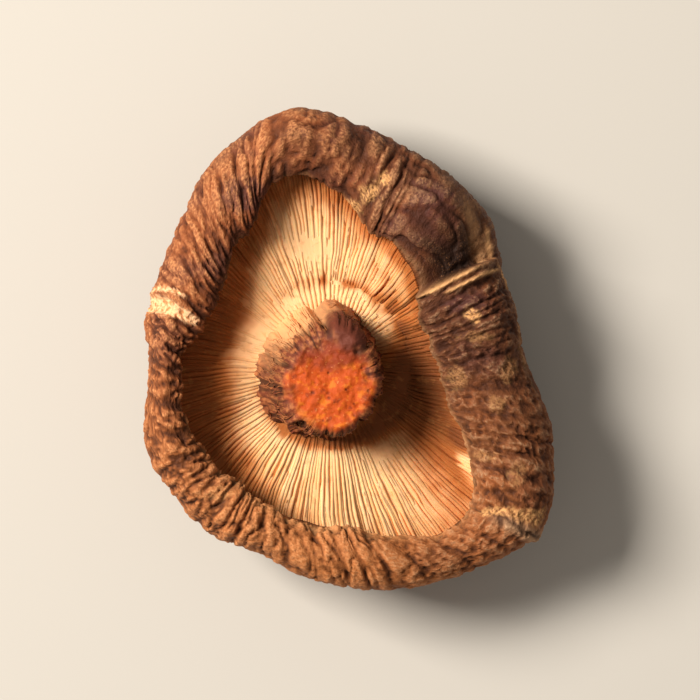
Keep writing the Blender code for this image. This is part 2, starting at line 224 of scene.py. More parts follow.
def facing(direction, towards, sharpness):
    """1 towards one direction, falling to 0 opposite to it."""
    return (0.5 + 0.5 * math.cos(math.radians(direction - towards))) ** sharpness


def hump(value, middle, half_width):
    return math.exp(-(((value - middle) / half_width) ** 2))


def spread_direction(place, ridges, spread_waves):
    """Direction of a place counted in ridges, which are not all equally wide."""
    direction = 360.0 / ridges * place
    return direction + 360.0 / ridges * waves_at(spread_waves, direction)


def groove_share(place):
    return fade(abs(place - round(place)), 0.0, GROOVE_HALF_WIDTH)


def lip_height(direction):
    return CREST_HEIGHT + waves_at(CREST_WAVES, direction) - LIP_BELOW_CREST


def lip_radius(direction):
    return radius_at(LIP, direction) + waves_at(LIP_WAVES, direction)


def rounded_ridges(place):
    """0 in narrow grooves and 1 on the rounded ridges between them."""
    share = min(1.0, abs(noise.noise(place)) / RIDGE_SLOPE)
    return share * (2.0 - share)


def cell_wall(point, size, warp, share):
    """1 on the walls between irregular cells and 0 inside them."""
    place = point / size
    bend = Vector((noise.noise(place), noise.noise(place.yzx), noise.noise(place.zxy)))
    distances = noise.voronoi(place + bend * warp)[0]
    return fade(distances[1] - distances[0], 0.0, share)


def uneven(point, *layers):
    """Noise at a point, in layers of (size across, height)."""
    return sum(height * noise.noise(point / size) for size, height in layers)


def spot_at(point, spots):
    """1 in the middle of ragged stains and 0 outside them."""
    ragged = uneven(point, *SPOTS_RAGGED)
    depth = 0.0
    for x, y, half_width, half_height in spots:
        far = math.hypot((point.x - x) / half_width, (point.y - y) / half_height)
        depth = max(depth, fade(far + ragged, *SPOTS_FADE))
    return depth


def skin_column(place):
    """What stays the same down one column of the cap."""
    direction = spread_direction(place, PLEATS, PLEAT_SPREAD_WAVES)
    return {
        "direction": direction,
        "ray": ray(direction),
        "edge": radius_at(CAP_EDGE, direction),
        "widest": WIDEST_HEIGHT + waves_at(WIDEST_WAVES, direction),
        "crest": CREST_HEIGHT + waves_at(CREST_WAVES, direction),
        "lip": GILL_CENTRE + ray(direction) * lip_radius(direction),
        "groove": groove_share(place),
        "depth": GROOVE_DEPTH * (1.0 + waves_at(GROOVE_DEPTH_WAVES, direction)),
        "left": facing(direction, LEFT_AT, 1),
        "low": facing(direction, LOW_AT, 3),
        "broad": ease(facing(direction, BROAD_AT, 1), *BROAD_FROM),
    }


def smooth_point(column, section, spot_share):
    """A point of the cap before it wrinkled. spot_share is under 1 inside the flat spot."""
    turn = math.radians(section)
    if section <= 0:
        radius = FLAT_SPOT_RADIUS * spot_share + (column["edge"] - FLAT_SPOT_RADIUS) * math.cos(turn)
        level = CAP_CENTRE + column["ray"] * radius
        return Vector((*level, column["widest"] * (1.0 + math.sin(turn))))
    edge = CAP_CENTRE + column["ray"] * column["edge"]
    level = edge.lerp(column["lip"], (1.0 - math.cos(turn)) / 2.0)
    foot = column["widest"] if section <= 90 else column["crest"] - LIP_BELOW_CREST
    return Vector((*level, blend(foot, column["crest"], math.sin(turn))))


def over_margin(section):
    """0 at the cap's widest and 1 at its lip."""
    return max(0.0, section) / 180.0


def slanted(at_edge, at_lip, section):
    """Direction of what runs across the margin at a slant."""
    return blend(at_edge, at_lip, over_margin(section))


def torn_share(direction, section, point):
    """1 where the skin is torn off the flesh, in a wedge with a short prong beside it."""
    across = over_margin(section)
    tear_at = slanted(TEAR_AT_EDGE, TEAR_AT_LIP, section)
    ragged = noise.noise(point * 1.1) + 0.5 * noise.noise(point * 3.7)
    along = section + TORN_RAGGED_ALONG * ragged
    half_width = TORN_HALF_WIDTH - TORN_NARROWS * across**2
    from_middle = abs(direction - tear_at) + 0.7 * ragged
    torn = fade(from_middle, half_width - TORN_EDGE_WIDTH, half_width)
    torn *= ease(along, *TORN_FROM) * fade(along, *TORN_UNTIL)
    prong_at = tear_at - PRONG_GAP - PRONG_GAP_WIDENS * across
    prong = fade(abs(direction - prong_at) + 0.5 * ragged, *PRONG_HALF_WIDTHS)
    prong *= ease(along, *PRONG_FROM) * fade(along, *PRONG_UNTIL)
    return max(torn, prong)


def fold_shares(direction, section, point, on_margin):
    """How far a place lies on each of the fold's two ridges, its dip, its corner and its strip."""
    wall_at = slanted(FOLD_AT_EDGE, FOLD_AT_LIP, section)
    there = ease(section, *FOLD_COMES_IN) * on_margin
    ridge_half_width = RIDGE_HALF_WIDTH + RIDGE_WIDENS * over_margin(section)
    ridge = there * hump(direction, wall_at - FOLD_WALL, ridge_half_width)
    ridge *= 0.4 + 0.6 * ease(section, *RIDGE_RISES)
    second = there * hump(direction, wall_at - FOLD_WALL - SECOND_RIDGE_BEFORE, SECOND_RIDGE_HALF_WIDTH)
    second *= fade(section, *SECOND_RIDGE_FADES)
    there *= ease(direction, wall_at - FOLD_WALL, wall_at)
    ragged = direction + uneven(point, CORNER_RAGGED)
    corner = there * fade(ragged, wall_at + CORNER_NEAR, wall_at + CORNER_FAR)
    corner *= ease(section, *CORNER_COMES_IN) * fade(section, *CORNER_FADES)
    strip = there * hump(section, STRIP_SECTION, STRIP_HALF_WIDTH) * fade(direction, *STRIP_ENDS)
    dip = there * fade(direction, wall_at, wall_at + FOLD_LENGTH)
    return ridge, second, dip, corner, strip


def pale_lines(direction, section, point, ridge, second, strip):
    """1 on the fold's ridges, a painted highlight, and less on the pale lines, partly worn and partly
    painted highlight, which are broken.
    """
    wandering = section + uneven(point, OUTER_LINE_WANDERS)
    outer = hump(wandering, OUTER_LINE_SECTION, OUTER_LINE_HALF_WIDTH)
    whole = max(0.0, OUTER_LINE_SHARE + uneven(point, OUTER_LINE_BROKEN))
    outer *= facing(direction, OUTER_LINE_AT, 14) * whole
    at_lip = LIP_LINE_ALL_ROUND + LIP_LINE_ON_RIGHT * facing(direction, 0.0, 2)
    lip = at_lip * ease(section, *LIP_LINE_COMES_IN)
    lip += LOW_LIP_LINE * ease(section, *LOW_LIP_LINE_COMES_IN) * facing(direction, LOW_AT, 5)
    broken = LINE_SHARE + uneven(point, LINES_BROKEN)
    return min(1.0, max(ridge**2, second**2, broken * max(outer, lip, STRIP_PALENESS * strip)))


def skin_point(column, section, spot_share=1.0):
    """A point of the wrinkled skin, and what its colour follows there."""
    direction, left = column["direction"], column["left"]
    point = smooth_point(column, section, spot_share)
    off_flat_spot = ease(section, *LUMPS_COME_IN)
    on_dome = fade(section, *FURROWS_FADE)
    on_dome *= blend(FURROWS_ON_FLAT_SPOT, 1.0, off_flat_spot)
    before_lip = 1.0 - LIP_SMOOTHED_BY * ease(section, *LIP_SMOOTHS)
    on_margin = ease(section, *DENTS_COME_IN) * before_lip
    broad = column["broad"] * ease(section, *NET_COMES_IN)
    scaly = facing(direction, SCALY_AT, 4) * ease(section, *SCALES_COME_IN)
    beyond_fold = ease(direction, *BEYOND_FOLD_FROM) * fade(direction, *BEYOND_FOLD_UNTIL)
    beyond_fold = beyond_fold * before_lip * ease(section, *BEYOND_FOLD_COMES_IN)

    rise = uneven(point, LUMPS) * off_flat_spot
    groove = column["groove"] * ease(section, *GROOVES_COME_IN) * before_lip
    groove *= 1.0 - GROOVES_LESS_BEYOND_FOLD * beyond_fold
    rise -= (GROOVE_SHARE - GROOVES_LESS_ON_LEFT * left) * column["depth"] * groove
    furrow = cell_wall(point, BUMP_SIZE, BUMP_WARP, FURROW_SHARE)
    crack = cell_wall(point, CRACK_SIZE, CRACK_WARP, CRACK_SHARE)
    rise -= (FURROW_DEPTH * furrow + CRACK_DEPTH * crack) * on_dome

    ridge, second, dip, corner, strip = fold_shares(direction, section, point, on_margin)
    from_tear = abs(direction - slanted(TEAR_AT_EDGE, TEAR_AT_LIP, section))
    tear = fade(from_tear, 0.0, TEAR_HALF_WIDTH) * on_margin
    crease = fade(abs(direction - CREASE_AT), 0.0, CREASE_HALF_WIDTH) * on_margin
    crease *= fade(section, *CREASE_FADES)
    ridges = CREASE_HEIGHT * crease + FOLD_RIDGE_HEIGHT * (ridge + second)
    rise += ridges - FOLD_DEPTH * dip - TEAR_DEPTH * tear

    around = Vector((*(column["ray"] * MARGIN_RADIUS / FINE_PLEAT_PITCH), section / FINE_PLEAT_STEP))
    sway = Vector((noise.noise(point / SWAY_SIZE), noise.noise(point.yzx / SWAY_SIZE), 0.0))
    fine = rounded_ridges(around + sway * SWAY_SHARE)
    finer = rounded_ridges(around * FINER_TIMES + sway)
    pleated = ease(section, *PLEATS_COME_IN) * (1.0 - PLEATS_LESS_ON_BROAD * broad)
    pleated *= 1.0 - PLEATS_LESS_BEYOND_FOLD * beyond_fold
    pleats = (fine - RIDGE_MEAN) + FINER_SHARE * (finer - RIDGE_MEAN)
    rise += FINE_PLEAT_HEIGHT * pleats * pleated
    across = Vector((*(column["ray"] * MARGIN_RADIUS / WRINKLE_LENGTH), section / WRINKLE_STEP))
    wrinkle = rounded_ridges(across + sway * SWAY_SHARE)
    rise += WRINKLE_HEIGHT * (wrinkle - RIDGE_MEAN) * beyond_fold
    net = cell_wall(point, NET_SIZE, NET_WARP, NET_SHARE)
    rise += NET_HEIGHT * (net - NET_MEAN) * (broad - SCALE_EDGES_SUNK * scaly)
    rise += uneven(point, GRAIN)

    torn = torn_share(direction, section, point)
    rise -= torn * (TORN_DEPTH + 0.16 * noise.noise(point * 1.9) + 0.08 * noise.noise(point * 5.1))
    rise += TORN_CURL * torn * (1.0 - torn)

    # The skin gets painted shade in its hollows and under the upper lip, and a painted highlight on the
    # high crest at the upper left.
    upper_crest = hump(section, UPPER_CREST_SECTION, UPPER_CREST_HALF_WIDTH)
    painted_shade_shares = {
        "groove": groove,
        "furrow": furrow * on_dome,
        "crack": crack * on_dome,
        "fine pleat": (1.0 - fine) * pleated,
        "finer pleat": (1.0 - finer) * pleated,
        "net": (1.0 - net) * broad,
        "scale edge": net * scaly,
        "beyond fold": beyond_fold,
        "wrinkle": (1.0 - wrinkle) * beyond_fold,
        "upper lip shade": ease(section, *UPPER_LIP_COMES_IN) * facing(direction, UPPER_LIP_AT, 6),
        "upper crest highlight": upper_crest * facing(direction, UPPER_CREST_AT, 2),
    }
    painted_shade = sum(PAINTED_SHADE_STRENGTHS[name] * share for name, share in painted_shade_shares.items())
    line = pale_lines(direction, section, point, ridge, second, strip)
    stained = ease(section, *STAINS_COME_IN)
    turn = math.radians(section)
    point += Vector((*(column["ray"] * math.cos(turn)), math.sin(turn))) * rise
    point.z = max(0.0, point.z)
    return point, {
        "painted_shade": min(1.0, max(0.0, painted_shade)),
        "torn": torn,
        "fold": FOLD_SHADE * dip + CORNER_SHADE * corner,
        "crease": crease,
        "line": line,
        "margin": ease(section, *MARGIN_COMES_IN),
        "left": left,
        "low": column["low"],
        "pale": max(spot_at(point, PALE_SPOTS), FAINT_SHARE * spot_at(point, FAINT_SPOTS)) * stained,
        "purple": spot_at(point, PURPLE_SPOTS) * stained,
        "weave": Vector((*(column["ray"] * MARGIN_RADIUS), section / WEAVE_STEP)),
    }


def made_piece(name, points, edges, faces, values):
    """A piece from points in millimetres. Each key of values holds a number or vector for every point."""
    mesh = bpy.data.meshes.new(name)
    mesh.from_pydata([point * MM for point in points], edges, faces)
    for key, flat in values.items():
        if isinstance(flat[0], Vector):
            layer = mesh.attributes.new(key, "FLOAT_VECTOR", "POINT")
            layer.data.foreach_set("vector", [part for value in flat for part in value])
        else:
            layer = mesh.attributes.new(key, "FLOAT", "POINT")
            layer.data.foreach_set("value", flat)
    piece = bpy.data.objects.new(name, mesh)
    bpy.context.scene.collection.objects.link(piece)
    return piece


def shaped_piece(name, rings):
    """A closed piece over rings of (point, values), its ends drawn to a point."""
    count, ends = len(rings[0]), (rings[0], rings[-1])
    points = [point for ring in rings for point, held in ring]
    points += [sum((point for point, held in ring), Vector()) / count for ring in ends]
    faces = []
    for r in range(len(rings) - 1):
        for i in range(count):
            j = (i + 1) % count
            here, there = r * count, (r + 1) * count
            faces.append((here + i, here + j, there + j, there + i))
    first, last = len(points) - 2, len(points) - 1
    top = (len(rings) - 1) * count
    faces += [(first, (i + 1) % count, i) for i in range(count)]
    faces += [(last, top + i, top + (i + 1) % count) for i in range(count)]
    values = {}
    for key, example in rings[0][0][1].items():
        none = Vector() if isinstance(example, Vector) else 0.0
        values[key] = [held[key] for ring in rings for point, held in ring]
        values[key] += [sum((held[key] for point, held in ring), none) / count for ring in ends]
    piece = made_piece(name, points, [], faces, values)
    piece.data.shade_smooth()
    piece.data.update()
    return piece


def linear(hex_colour):
    """A colour given as sRGB hex, as linear red, green, blue and alpha."""
    parts = [int(hex_colour[i:i + 2], 16) / 255.0 for i in (1, 3, 5)]
    return (*(v / 12.92 if v <= 0.04045 else ((v + 0.055) / 1.055) ** 2.4 for v in parts), 1.0)


def fill(tree, node, inputs):
    """Fills a node's inputs, each with a value, a socket or another node's first output."""
    for name, value in inputs.items():
        if isinstance(value, bpy.types.Node):
            value = next(socket for socket in value.outputs if socket.enabled)
        if isinstance(value, bpy.types.NodeSocket):
            tree.links.new(value, node.inputs[name])
        else:
            node.inputs[name].default_value = value


def add(tree, kind, inputs=None, **settings):
    """A node with its settings and its inputs."""
    node = tree.nodes.new(kind)
    for name, value in settings.items():
        setattr(node, name, value)
    fill(tree, node, inputs or {})
    return node


def started_material(name, keys):
    """A material, its tree, its surface, the place on the piece and the values that the piece holds."""
    material = bpy.data.materials.new(name)
    material.use_nodes = True
    tree = material.node_tree
    where = add(tree, "ShaderNodeTexCoord").outputs["Object"]
    read = {key: add(tree, "ShaderNodeAttribute", attribute_name=key).outputs["Fac"] for key in keys}
    return material, tree, tree.nodes["Principled BSDF"], where, read


columns = [skin_column(i / COLUMNS_A_PLEAT) for i in range(PLEATS * COLUMNS_A_PLEAT)]
sections = [(-90.0, (row + 1) / (FLAT_ROWS + 1)) for row in range(FLAT_ROWS)]
sections += [(-90.0 * (1.0 - row / DOME_ROWS) ** DOME_ROW_CURVE, 1.0) for row in range(DOME_ROWS)]
sections += [(180.0 * row / ROLL_ROWS, 1.0) for row in range(ROLL_ROWS + 1)]
skin_rings = [[skin_point(column, *step) for column in columns] for step in sections]
# The wall under the lip gets painted shade.
under_lip = {key: 0.0 for key in skin_rings[0][0][1]}
under_lip |= {"painted_shade": 0.8, "margin": 1.0, "left": 0.5, "low": 0.5}
for below_lip, back in (
    (LIP_ROUNDED_HEIGHT, LIP_ROUNDED_DEPTH), (LIP_THICKNESS, LIP_UNDERCUT), (None, LIP_UNDERCUT),
):
    ring = []
    for column in columns:
        direction = column["direction"]
        level = GILL_CENTRE + column["ray"] * (lip_radius(direction) + back)
        height = CAVITY_FLOOR_HEIGHT if below_lip is None else lip_height(direction) - below_lip
        under_lip["weave"] = Vector((*(column["ray"] * MARGIN_RADIUS), WEAVE_UNDER_LIP))
        ring.append((Vector((*level, height)), dict(under_lip)))
    skin_rings.append(ring)
cap = shaped_piece("cap_skin", skin_rings)

# Dried mushroom skin: a leathery brown film with no gloss. Its furrows and other hollows get painted shade,
# and its ridges are tan, partly from wear and partly from a painted highlight that is stronger on the left
# and at the bottom. It is more orange on the left and purplish where the margin is broad.
SKIN_COOL, SKIN_WARM, SKIN_PURPLE, SKIN_DOME = "#5C331D", "#8C4A26", "#4E2A28", "#56301A"
SKIN_DARK, SKIN_WORN, SKIN_PALE, SKIN_LINE = "#34170A", "#D6925F", "#D9A066", "#E8AE74"
SKIN_GOLD, SKIN_DEEP, SKIN_DUST = "#B56C36", "#1E0E05", "#BC9470"
FLESH_CREAM, FLESH_SHADE = "#F2C090", "#C08050"
PATCH_SIZE, BRUISE_SIZE, SPECK_SIZE, FLECK_SIZE, THREAD_SIZE = 3.8, 5.3, 0.53, 0.19, 0.31

skin, tree, surface, where, read = started_material(
    "dried cap skin", [key for key in under_lip if key != "weave"],
)
weave = add(tree, "ShaderNodeAttribute", attribute_name="weave").outputs["Vector"]
patches, bruises, specks, flecks, threads = (
    add(tree, "ShaderNodeTexNoise", {"Vector": place, "Scale": scale, "Detail": detail})
    for place, scale, detail in (
        (where, 1.0 / (PATCH_SIZE * MM), 4.0), (where, 1.0 / (BRUISE_SIZE * MM), 2.0),
        (where, 1.0 / (SPECK_SIZE * MM), 4.0), (where, 1.0 / (FLECK_SIZE * MM), 2.0),
        (weave, 1.0 / THREAD_SIZE, 4.0),
    )
)
threads = add(tree, "ShaderNodeMix", {0: read["margin"], 2: specks, 3: threads})
# wear_and_highlight is tan wear on the ridges and a painted highlight, stronger on the left and at the
# bottom.
warmth, wear_and_highlight = -0.3, 0.56
for value, times in ((read["left"], 0.6), (read["low"], 0.5), (patches, 1.0)):
    warmth = add(tree, "ShaderNodeMath", {0: value, 1: times, 2: warmth}, operation="MULTIPLY_ADD")
for value, times in ((read["painted_shade"], -1.8), (read["low"], 0.35), (read["left"], 0.42)):
    wear_and_highlight = add(tree, "ShaderNodeMath", {0: value, 1: times, 2: wear_and_highlight}, operation="MULTIPLY_ADD")
wear_and_highlight = add(tree, "ShaderNodeClamp", {"Value": wear_and_highlight})
share = {
    name: add(
        tree, "ShaderNodeMapRange", {0: value, 1: low, 2: high, 3: at_low, 4: at_high},
        interpolation_type="SMOOTHSTEP",
    )
    for name, value, low, high, at_low, at_high in (
        ("warm", warmth, 0.25, 0.85, 0.0, 1.0),
        ("bruised", bruises, 0.52, 0.68, 0.0, 0.45),
        ("domed", read["margin"], 0.0, 0.8, 0.7, 0.0),
        ("thread", threads, 0.36, 0.68, 0.1, 0.85),
        ("painted_shade", read["painted_shade"], 0.2, 1.0, 0.0, 0.85),
        ("stain grain", threads, 0.36, 0.60, 0.15, 0.95),
        ("speck", specks, 0.32, 0.46, 0.35, 0.0),
        ("fleck", flecks, 0.56, 0.72, 0.0, 0.3),
        ("ridge", read["painted_shade"], 0.1, 0.6, 1.0, 0.0),
        ("flesh grain", specks, 0.38, 0.56, 0.0, 1.0),
        ("rubbed", read["left"], 0.1, 0.6, 0.0, 1.0),
        ("rough", threads, 0.3, 0.7, 0.6, 0.9),
    )
}
wear_and_highlight, purple, golden, painted_fold_shade, lined, stain, fleck = (
    add(tree, "ShaderNodeMath", {0: value, 1: times}, operation="MULTIPLY")
    for value, times in (
        (wear_and_highlight, share["thread"]), (read["purple"], 0.7), (read["low"], 0.75), (read["fold"], 0.95),
        (read["line"], 0.9), (read["pale"], share["stain grain"]), (share["fleck"], share["ridge"]),
    )
)
purple = add(tree, "ShaderNodeMath", {0: share["bruised"], 1: purple}, operation="MAXIMUM")
# The raised crease gets a painted highlight.
wear_and_highlight = add(
    tree, "ShaderNodeMath", {0: read["crease"], 1: 0.75, 2: wear_and_highlight}, operation="MULTIPLY_ADD", use_clamp=True,
)
flesh, rubbed = (
    add(tree, "ShaderNodeMix", {0: amount, 6: linear(low), 7: linear(high)}, data_type="RGBA")
    for amount, low, high in (
        (share["flesh grain"], FLESH_SHADE, FLESH_CREAM), (share["rubbed"], SKIN_DUST, SKIN_WORN),
    )
)
colour = linear(SKIN_COOL)
for amount, over in (
    (share["warm"], linear(SKIN_WARM)), (purple, linear(SKIN_PURPLE)), (golden, linear(SKIN_GOLD)),
    (share["domed"], linear(SKIN_DOME)), (wear_and_highlight, rubbed), (share["painted_shade"], linear(SKIN_DARK)),
    (painted_fold_shade, linear(SKIN_DEEP)), (stain, linear(SKIN_PALE)), (lined, linear(SKIN_LINE)),
    (share["speck"], linear(SKIN_DARK)), (fleck, linear(SKIN_WORN)), (read["torn"], flesh),
):
    colour = add(tree, "ShaderNodeMix", {0: amount, 6: colour, 7: over}, data_type="RGBA")
height = add(tree, "ShaderNodeMath", {0: flecks, 1: 0.3, 2: specks}, operation="MULTIPLY_ADD")
height = add(tree, "ShaderNodeMath", {0: threads, 1: 1.6, 2: height}, operation="MULTIPLY_ADD")
bumps = add(tree, "ShaderNodeBump", {"Strength": 0.6, "Distance": 0.15 * MM, "Height": height})
fill(tree, surface, {
    "Base Color": colour, "Roughness": share["rough"], "Normal": bumps, "Specular IOR Level": 0.2,
})
cap.data.materials.append(skin)
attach(cap, "root")
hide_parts("dried_shiitake")

# The gills. Some four hundred thin blades of dry flesh stand on the underside of the cap, and only
# a quarter of them reach the stem. They dried to cream, and to orange brown towards the margin.
GILL_INNER_RADIUS = 4.6
GILL_TUCK = 0.7
GILL_EDGE_AT_STEM, GILL_EDGE_BELOW_LIP, GILL_EDGE_CURVE = 9.8, 1.7, 1.5
GILLS_HIGHER_AT, GILLS_HIGHER_BY = 25.0, 0.9
GILLS_LOWER_AT, GILLS_LOWER_BY = 180.0, 2.3
DIP_AT, DIP_RADIUS, DIP_WIDTH, DIP_DEPTH = 42.0, 8.8, 0.8, 0.6
COLLAR_RADIUS, COLLAR_HEIGHT = 6.9, 0.5
GAPS_OPEN, GAPS_OPEN_LATER_BY, GAPS_OPEN_LATER_AT = (0.35, 0.8), 0.28, 112.0

# The flesh browned towards the margin. Painted shade adds to the brown: it starts sooner on the left and is
# strongest at the upper left, where the rolled lip shades the gills, and lies in the dip and at the stem's
# foot. Patches are given as (strength, direction, sharpness, stretch of the way out over which it comes
# in): brown with the painted shadow of the stem on the right, less just under the lip on the right, painted
# shade under the left lip and brown on the high crest.
BROWN_FROM, BROWN_WIDTH, BROWN_SOONER_BY, BROWN_LEAST, BROWN_MOST_AT = 0.80, 0.4, 0.56, 0.25, 158.0
SHADE_IN_DIP, SHADE_DIP_WIDTH, BROWN_RAGGED = 0.95, 1.0, 1.2
FOOT_AT, FOOT_RADIUS, FOOT_WIDTH, SHADE_AT_FOOT = 280.0, 7.8, 1.1, 1.4
ALL_THE_WAY = (-1.0, 0.0)
BROWN_AND_SHADE_PATCHES = (
    (1.25, 347.0, 8, ALL_THE_WAY), (-0.44, 347.0, 8, (0.85, 1.0)),
    (0.2, 186.0, 8, (0.55, 0.9)), (0.5, 36.0, 5, (0.4, 0.7)),
)
NOTCH_AT, NOTCH_HALF_WIDTH, NOTCH_ALONG, NOTCH_HALF_LENGTH, NOTCH_BROWN = 331.5, 2.0, 0.90, 0.06, 2.0
TORN_END_AT, TORN_END_HALF_WIDTH, TORN_END_FROM = 325.0, 3.0, (0.80, 0.92)

# Unevenness round the mushroom, as (how close round it, how close on the way out).
BLOTCHES, RIPPLES, CLUMPS, TEETH = (9.0, 5.0), (52.0, 2.0), (15.0, 1.2), (34.0, 2.0)
RIPPLE_MEAN = 0.3


def round_noise(direction, along, closeness):
    """Noise that meets itself after a turn round the mushroom."""
    round_it, outwards = closeness
    return noise.noise(Vector((*(ray(direction) * round_it), along * outwards)))


def gill_radius(direction, along):
    """Radius of a place on the gills, from 0 in the stem to 1 in the margin."""
    return blend(GILL_INNER_RADIUS, lip_radius(direction) + GILL_TUCK, along)


def gill_edge(direction, along):
    """Height of the gills' free edges, which fall from the lip to the stem and dip once."""
    at_lip = lip_height(direction) - GILL_EDGE_BELOW_LIP
    at_lip += GILLS_HIGHER_BY * facing(direction, GILLS_HIGHER_AT, 2)
    at_lip -= GILLS_LOWER_BY * facing(direction, GILLS_LOWER_AT, 2)
    edge = blend(GILL_EDGE_AT_STEM, at_lip, along**GILL_EDGE_CURVE)
    radius = gill_radius(direction, along)
    dip = DIP_DEPTH * hump(radius, DIP_RADIUS, DIP_WIDTH)
    collar = COLLAR_HEIGHT * hump(radius, COLLAR_RADIUS, DIP_WIDTH)
    return edge + (collar - dip) * facing(direction, DIP_AT, 3)


def gill_gaps(direction, along):
    """How far the gaps between the gills stand open, from 0 at the stem to 1 at the margin."""
    later = GAPS_OPEN_LATER_BY * facing(direction, GAPS_OPEN_LATER_AT, 4)
    return ease(along, GAPS_OPEN[0] + later, GAPS_OPEN[1] + 0.6 * later)


def gill_brown(direction, along):
    """How far the flesh browned, with painted shade added. It is cream at 0, brown at 1 and umber above
    that.
    """
    radius = gill_radius(direction, along)
    start = BROWN_FROM - BROWN_SOONER_BY * facing(direction, LEFT_AT, 2)
    brown = blend(BROWN_LEAST, 1.0, facing(direction, BROWN_MOST_AT, 1))
    brown *= ease(along, start, min(1.0, start + BROWN_WIDTH))
    in_dip = facing(direction, DIP_AT, 2) * hump(radius, DIP_RADIUS, SHADE_DIP_WIDTH)
    brown += SHADE_IN_DIP * in_dip * (1.0 + BROWN_RAGGED * round_noise(direction, along, BLOTCHES))
    brown = min(1.0, brown)
    brown += SHADE_AT_FOOT * hump(radius, FOOT_RADIUS, FOOT_WIDTH) * facing(direction, FOOT_AT, 2)
    for strength, at, sharpness, comes_in in BROWN_AND_SHADE_PATCHES:
        brown += strength * facing(direction, at, sharpness) * ease(along, *comes_in)
    torn_end = hump(direction, TORN_END_AT, TORN_END_HALF_WIDTH) * ease(along, *TORN_END_FROM)
    notch = hump(direction, NOTCH_AT, NOTCH_HALF_WIDTH) * hump(along, NOTCH_ALONG, NOTCH_HALF_LENGTH)
    return brown * (1.0 - torn_end) + NOTCH_BROWN * notch


# The bed is the flesh of the cap that the blades grow from. It rises close under their edges near
# the stem, and lies deeper between them towards the margin.
BED_COLUMNS, BED_ROWS = 900, 26
BED_BELOW_EDGE = (0.03, 0.24)
BED_TUCK = 0.4
BED_UNDERSIDE_HEIGHT = 6.0
BED_TINTS = (0.1, 0.5)

bed_rings = []
for row in range(BED_ROWS):
    along = row / (BED_ROWS - 1)
    ring = []
    for i in range(BED_COLUMNS):
        direction = 360.0 * i / BED_COLUMNS
        deep = gill_gaps(direction, along)
        below = blend(*BED_BELOW_EDGE, deep)
        level = GILL_CENTRE + ray(direction) * (gill_radius(direction, along) + BED_TUCK * along)
        swell = abs(round_noise(direction, along, RIPPLES)) - RIPPLE_MEAN
        point = Vector((*level, gill_edge(direction, along) - below + below * swell))
        ring.append((point, {"tint": blend(*BED_TINTS, deep), "brown": gill_brown(direction, along)}))
    bed_rings.append(ring)
for ring in (bed_rings[-1], bed_rings[0]):
    bed_rings.append([(Vector((*point.xy, BED_UNDERSIDE_HEIGHT)), held) for point, held in ring])
bed = shaped_piece("gill_bed", bed_rings[::-1])

# Each blade starts as a line of points half its depth below its free edge. Of four blades in turn
# one reaches the stem, one starts near it and two start further out.
GILLS, GILL_POINTS = 400, 18
GILL_DEPTH, GILL_EDGE_THICKNESS, GILL_ROOT_THICKNESS = 1.6, 0.17, 0.30
GILL_KINDS, NEAR_STARTS, FAR_STARTS = (0, 2, 1, 2), (0.03, 0.25), (0.4, 0.75)
GILL_JITTER, GILL_BEND_SPREAD, GILL_SWAY = 0.25, 0.4, 0.8
GILL_HEIGHT_SPREAD, SHORT_GILL_LOWER = 0.03, 0.04
TOOTH_HEIGHT, TOOTH_AT_STEM = 0.24, 0.08
SHORT_GILL_SINK, SINK_POINTS = 0.8, 3.0
GILL_TINT, TINT_AT_STEM = 0.3, 0.15

rng = np.random.default_rng(11)
guide_points, guide_edges, guide_values = [], [], {"tint": [], "brown": []}
for g in range(GILLS):
    kind = GILL_KINDS[g % len(GILL_KINDS)]
    direction = 360.0 * (g + rng.uniform(-GILL_JITTER, GILL_JITTER)) / GILLS
    start = (0.0, rng.uniform(*NEAR_STARTS), rng.uniform(*FAR_STARTS))[kind]
    height = rng.normal(0.0, GILL_HEIGHT_SPREAD) - SHORT_GILL_LOWER * kind
    bend = rng.normal(0.0, GILL_BEND_SPREAD)
    tint = rng.uniform(0.0, 1.0)
    count = round(GILL_POINTS * (1.0 - 0.8 * start))
    for i in range(count):
        along = start + (1.0 - start) * i / (count - 1)
        lean = direction + bend * math.sin(math.pi * along) + GILL_SWAY * math.sin(4.0 * along + 2.0)
        level = GILL_CENTRE + ray(lean) * gill_radius(lean, along)
        clump = round_noise(direction, along, CLUMPS)
        tooth = round_noise(direction, along, TEETH)
        edge = gill_edge(direction, along) + height * (0.4 + 0.6 * along)
        toothed = blend(TOOTH_AT_STEM, 1.0, along**3)
        edge += TOOTH_HEIGHT * (clump + tooth) * toothed
        sunk = SHORT_GILL_SINK * fade(i, 0.0, SINK_POINTS) if kind else 0.0
        guide_points.append(Vector((*level, edge - sunk - GILL_DEPTH / 2.0)))
        varied = 0.5 * tint - 0.9 * clump - 0.5 * tooth
        varied *= blend(TINT_AT_STEM, 1.0, gill_gaps(direction, along))
        guide_values["tint"].append(min(1.0, max(0.0, GILL_TINT + varied)))
        guide_values["brown"].append(gill_brown(direction, along))
        if i:
            guide_edges.append((len(guide_points) - 2, len(guide_points) - 1))
gills = made_piece("gills", guide_points, guide_edges, [], guide_values)

# Dry gill flesh: matte, thin enough to glow a little, cream with fine brown flecks.
GILL_CREAM, GILL_TAN, GILL_BROWN = "#FFC892", "#F0B074", "#B4662E"
# Umber is mostly painted shade, at the stem's foot and in its shadow on the right.
GILL_UMBER, GILL_FLECK = "#6E3A1C", "#C07C42"
GILL_STAIN_SIZE, GILL_FLECK_SIZE = 2.4, 0.7

